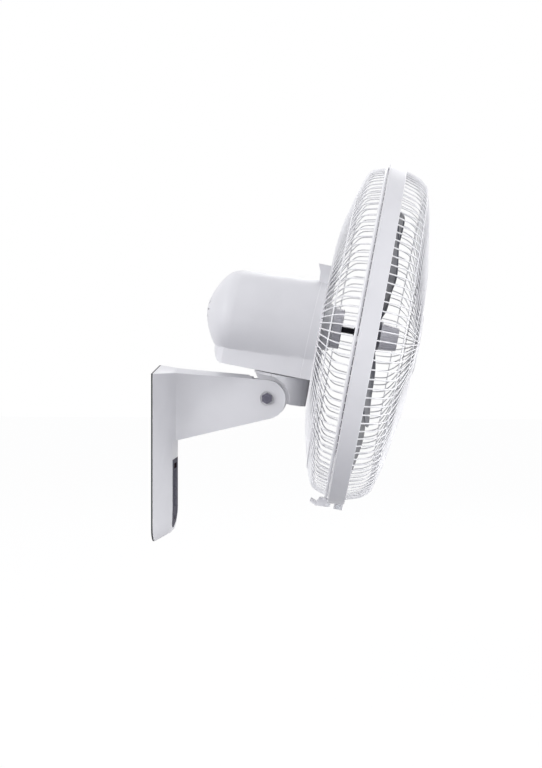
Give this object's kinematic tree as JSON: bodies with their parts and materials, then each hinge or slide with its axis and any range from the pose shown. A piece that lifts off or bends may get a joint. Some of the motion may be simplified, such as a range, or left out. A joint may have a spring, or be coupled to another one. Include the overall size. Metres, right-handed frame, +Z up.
{
  "type": "wall fan",
  "caption": "Oscillating wall fan: tall bracket with a tapering arm, tilting neck, motor housing with vented dome, swept blades in a wire cage closed by a plastic band.",
  "frame": {"origin": "centre of the four wall screws, on the wall face of the back plate", "axes": "+X out of the wall and along the air flow, +Y to the right as one faces the wall, +Z up; at rest the head is nosed down by 10.6 degrees"},
  "size_m": [0.3572, 0.4544, 0.4933],
  "materials": {
    "abs_white": "satin off-white moulding",
    "plate_black": "black paint, low gloss",
    "panel_dark": "dark gloss",
    "button_grey": "fine matt",
    "window_smoke": "smoked gloss",
    "board_green": "lacquered board",
    "switch_black": "matt",
    "rubber_black": "matt",
    "zinc_steel": "zinc plated",
    "cast_alloy": "die cast",
    "lamination": "stacked sheet edges",
    "copper": "enamelled wire",
    "guard_white": "off-white powder coat",
    "blade_dark": "smooth moulded",
    "spinner_grey": "smooth moulded",
    "nut_grey": "matt",
    "shaft_black": "black oxide"
  },
  "bodies": {
    "bracket": {"wall_plate": "plate_black", "bracket_body": "abs_white", "control_panel": "panel_dark", "indicator_window": "window_smoke", "remote_receiver": "window_smoke", "control_board": "board_green", "tact_switches": "switch_black", "cable_grommet": "rubber_black", "bracket_screws": "zinc_steel", "pivot_bolt": "zinc_steel", "pivot_nut": "zinc_steel", "tilt_washers": "zinc_steel"},
    "neck": {"neck_block": "abs_white", "swivel_pin": "zinc_steel", "swivel_washer": "switch_black", "swivel_nut": "zinc_steel", "link_anchor": "zinc_steel"},
    "head": {"motor_housing": "abs_white", "front_cover": "abs_white", "cover_screws": "zinc_steel", "swivel_casting": "cast_alloy", "swing_motor": "zinc_steel", "stator_core": "lamination", "stator_windings": "copper", "end_shield_front": "cast_alloy", "end_shield_rear": "cast_alloy", "bearing_front": "zinc_steel", "bearing_rear": "zinc_steel", "capacitor": "switch_black", "rear_guard": "guard_white", "front_guard": "guard_white", "guard_badge": "abs_white", "guard_nut": "nut_grey", "guard_ring": "abs_white", "ring_screw": "zinc_steel", "clip_pin": "zinc_steel"},
    "rotor": {"motor_shaft": "shaft_black", "drive_pin": "zinc_steel", "rotor_core": "lamination", "fan_blade": "blade_dark", "spinner": "spinner_grey"},
    "swing_link": {"swing_link": "zinc_steel"},
    "swing_crank": {"swing_crank": "switch_black"},
    "guard_clip": {"guard_clip": "abs_white"},
    "control_button_1": {"control_button_1": "button_grey"},
    "control_button_2": {"control_button_2": "button_grey"},
    "control_button_3": {"control_button_3": "button_grey"},
    "control_button_4": {"control_button_4": "button_grey"}
  },
  "joints": [
    {"name": "tilt", "type": "hinge", "parent": "bracket", "child": "neck", "pos_m": [0.145, 0, 0.068], "axis": [0, 1, 0], "range_deg": [-8, 25]},
    {"name": "swing", "type": "hinge", "parent": "neck", "child": "head", "pos_m": [0.16439, 0, 0.09806], "axis": [0.184, 0, 0.9829], "range_deg": [-40, 40]},
    {"name": "swing_link_turn", "type": "hinge", "parent": "neck", "child": "swing_link", "pos_m": [0.16734, 0.016, 0.11378], "axis": [0.184, 0, 0.9829], "range_deg": [-40, 40]},
    {"name": "swing_crank_turn", "type": "hinge", "parent": "head", "child": "swing_crank", "pos_m": [0.10123, 0, 0.13023], "axis": [0.184, 0, 0.9829], "range_deg": [-58, 58]},
    {"name": "rotor_spin", "type": "hinge", "parent": "head", "child": "rotor", "pos_m": [0.2763, 0, 0.1524], "axis": [0.9829, 0, -0.184], "continuous": true},
    {"name": "guard_clip_turn", "type": "hinge", "parent": "head", "child": "guard_clip", "pos_m": [0.22484, 0, -0.07257], "axis": [0, -1, 0], "range_deg": [0, 60]},
    {"name": "control_button_1_press", "type": "slide", "parent": "bracket", "child": "control_button_1", "axis": [-1, 0, 0], "range_m": [0, 0.0012], "stiffness_N_per_m": 200},
    {"name": "control_button_2_press", "type": "slide", "parent": "bracket", "child": "control_button_2", "axis": [-1, 0, 0], "range_m": [0, 0.0012], "stiffness_N_per_m": 200},
    {"name": "control_button_3_press", "type": "slide", "parent": "bracket", "child": "control_button_3", "axis": [-1, 0, 0], "range_m": [0, 0.0012], "stiffness_N_per_m": 200},
    {"name": "control_button_4_press", "type": "slide", "parent": "bracket", "child": "control_button_4", "axis": [-1, 0, 0], "range_m": [0, 0.0012], "stiffness_N_per_m": 200}
  ],
  "couplings": [
    {"joint": "swing_link_turn", "follows": "swing", "ratio": 1},
    {"joint": "swing_crank_turn", "follows": "swing", "ratio": -1.45}
  ]
}
